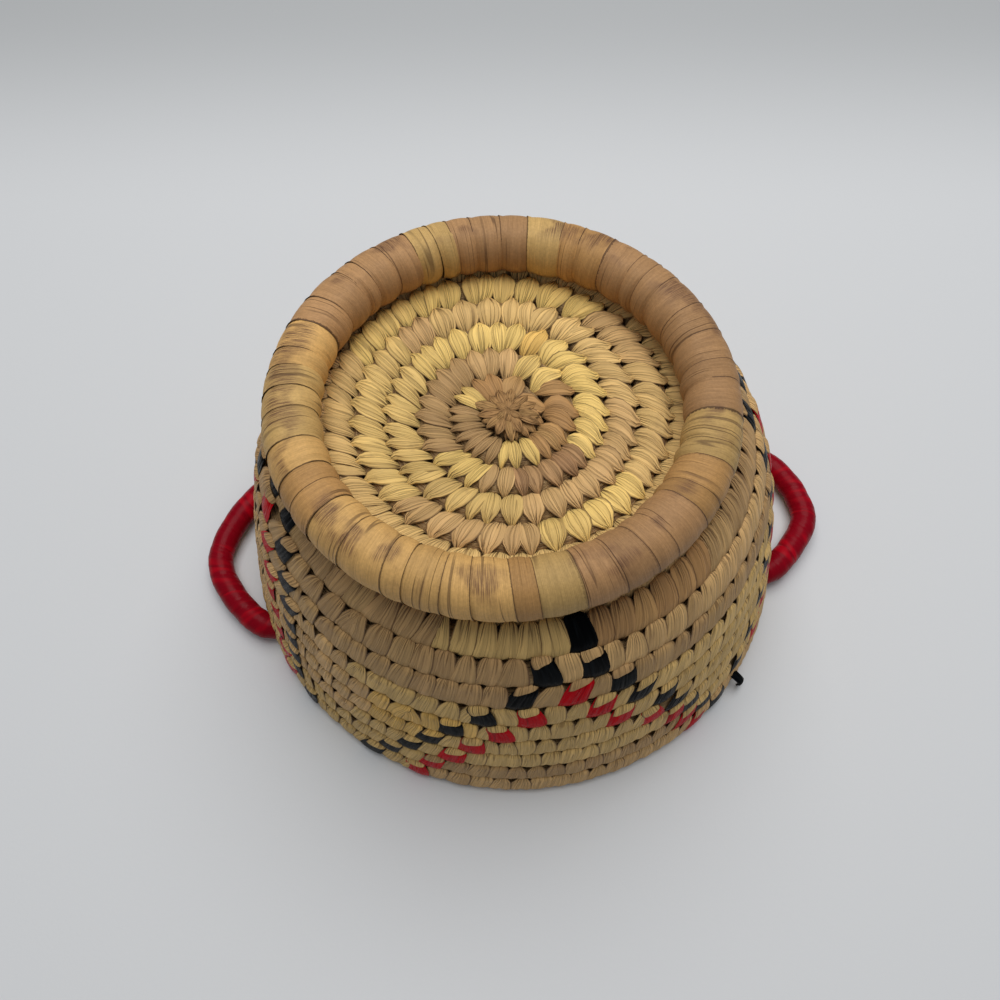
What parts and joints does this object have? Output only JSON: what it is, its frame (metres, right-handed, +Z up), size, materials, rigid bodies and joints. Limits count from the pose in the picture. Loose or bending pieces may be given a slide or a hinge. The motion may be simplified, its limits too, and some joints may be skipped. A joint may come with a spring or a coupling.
{
  "type": "coiled basket",
  "caption": "Coiled basket, a bowl flaring to its rim, with a wrapped foot ring, two loop handles and a zigzag in coloured stitches, standing upside down on its rim.",
  "frame": {"origin": "on the surface the basket stands on, midway between the handles' outer edges and under the middle of the rim", "axes": "+Z up with the basket standing upside down on its rim as pictured, +X to the right hand handle, -Y towards the picture's viewer"},
  "size_m": [0.2188, 0.1798, 0.0974],
  "materials": {
    "leaf_bundle": "dry split leaf and stem fibres, matt",
    "leaf_wrap": "flat dried leaf strip, satin",
    "black_strip": "glossy flat strip",
    "red_strip": "glossy flat strip",
    "red_ribbon": "glossy wound ribbon"
  },
  "bodies": {
    "root": {"foundation_coil": "leaf_bundle", "foot_ring_core": "leaf_bundle", "foot_ring_wrap": "leaf_wrap", "left_handle_core": "leaf_bundle", "right_handle_core": "leaf_bundle", "left_handle_wrap": "red_ribbon", "right_handle_wrap": "red_ribbon", "black_loose_end": "black_strip", "black_zigzag_left_left": "black_strip", "black_zigzag_left_right": "black_strip", "black_zigzag_front_left": "black_strip", "black_zigzag_front_right": "black_strip", "black_zigzag_right_left": "black_strip", "black_zigzag_right_right": "black_strip", "black_zigzag_back_left": "black_strip", "black_zigzag_back_right": "black_strip", "red_zigzag_left_left": "red_strip", "red_zigzag_left_right": "red_strip", "red_zigzag_front_left": "red_strip", "red_zigzag_front_right": "red_strip", "red_zigzag_right_left": "red_strip", "red_zigzag_right_right": "red_strip", "red_zigzag_back_left": "red_strip", "red_zigzag_back_right": "red_strip"}
  },
  "joints": []
}
